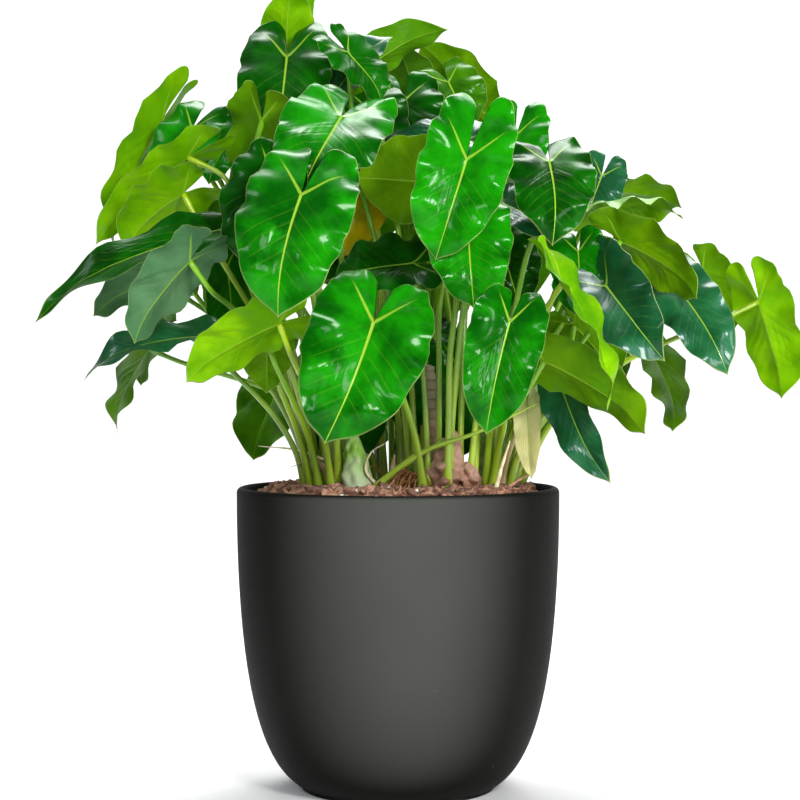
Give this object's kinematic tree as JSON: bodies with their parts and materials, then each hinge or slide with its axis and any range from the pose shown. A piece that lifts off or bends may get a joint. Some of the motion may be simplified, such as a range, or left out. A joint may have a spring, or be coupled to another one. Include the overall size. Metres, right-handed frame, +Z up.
{
  "type": "potted plant",
  "caption": "Bushy heart-leaved philodendron with arching stalks, growing in a dark egg-shaped cover pot with a low foot.",
  "frame": {"origin": "centre of the pot's flat underside, on the pot's axis", "axes": "+Z up along the pot's axis, the front of the plant faces -Y, +X to the right seen from the front"},
  "size_m": [0.635, 0.4374, 0.7113],
  "materials": {
    "anthracite": "satin matt anthracite glaze",
    "nursery_plastic": "matt dark grey-blue plastic",
    "bark_mix": "loose reddish-brown bark and coco chips",
    "cane_bark": "rough ringed grey-green stem",
    "old_stalk": "dry straw-coloured stalk",
    "leaf_glossy": "glossy deep green leaf, waxy",
    "leaf_dark": "dark green glossy leaf",
    "leaf_olive": "matt olive leaf underside",
    "leaf_lime": "lime green young leaf",
    "leaf_slate": "green leaf with a blue-grey sheen",
    "leaf_faded": "dry cream leaf"
  },
  "bodies": {
    "root": {"pot": "anthracite", "grow_pot": "nursery_plastic", "soil": "bark_mix", "cane_left": "cane_bark", "cane_centre": "cane_bark", "cane_right": "cane_bark", "cane_back": "cane_bark", "stub": "old_stalk", "leaf_heart_front": "leaf_glossy", "leaf_heart_middle": "leaf_glossy", "leaf_heart_inner": "leaf_glossy", "leaf_spear_top": "leaf_glossy", "leaf_shade_top": "leaf_dark", "leaf_slate_top": "leaf_slate", "leaf_round_back": "leaf_olive", "leaf_dark_middle": "leaf_dark", "leaf_slate_middle": "leaf_slate", "leaf_green_top": "leaf_glossy", "leaf_broad_front": "leaf_glossy", "leaf_broad_upper": "leaf_glossy", "leaf_broad_top": "leaf_dark", "leaf_lime_left": "leaf_lime", "leaf_curl_left": "leaf_lime", "leaf_gloss_left": "leaf_glossy", "leaf_olive_left": "leaf_olive", "leaf_bright_left": "leaf_lime", "leaf_long_left": "leaf_dark", "leaf_grey_left": "leaf_slate", "leaf_pale_left": "leaf_slate", "leaf_twist_left": "leaf_slate", "leaf_yellow_left": "leaf_lime", "leaf_small_left": "leaf_olive", "leaf_bright_top": "leaf_lime", "leaf_blade_top": "leaf_lime", "leaf_fold_top": "leaf_slate", "leaf_shade_right": "leaf_dark", "leaf_tall_right": "leaf_olive", "leaf_round_right": "leaf_olive", "leaf_rear_high": "leaf_glossy", "leaf_rear_left": "leaf_glossy", "leaf_rear_right": "leaf_glossy", "leaf_rear_middle": "leaf_dark", "leaf_rear_low_left": "leaf_glossy", "leaf_rear_low_right": "leaf_glossy", "leaf_heart_right": "leaf_dark", "leaf_olive_right": "leaf_olive", "leaf_pale_right": "leaf_lime", "leaf_long_right": "leaf_olive", "leaf_drop_right": "leaf_olive", "leaf_dark_right": "leaf_slate", "leaf_lime_right": "leaf_lime", "leaf_low_right": "leaf_olive", "leaf_hanging_right": "leaf_slate", "leaf_faded_right": "leaf_faded", "leaf_gloss_front": "leaf_glossy", "leaf_eared_right": "leaf_slate", "leaf_back_right": "leaf_olive", "leaf_far_right": "leaf_lime"}
  },
  "joints": []
}
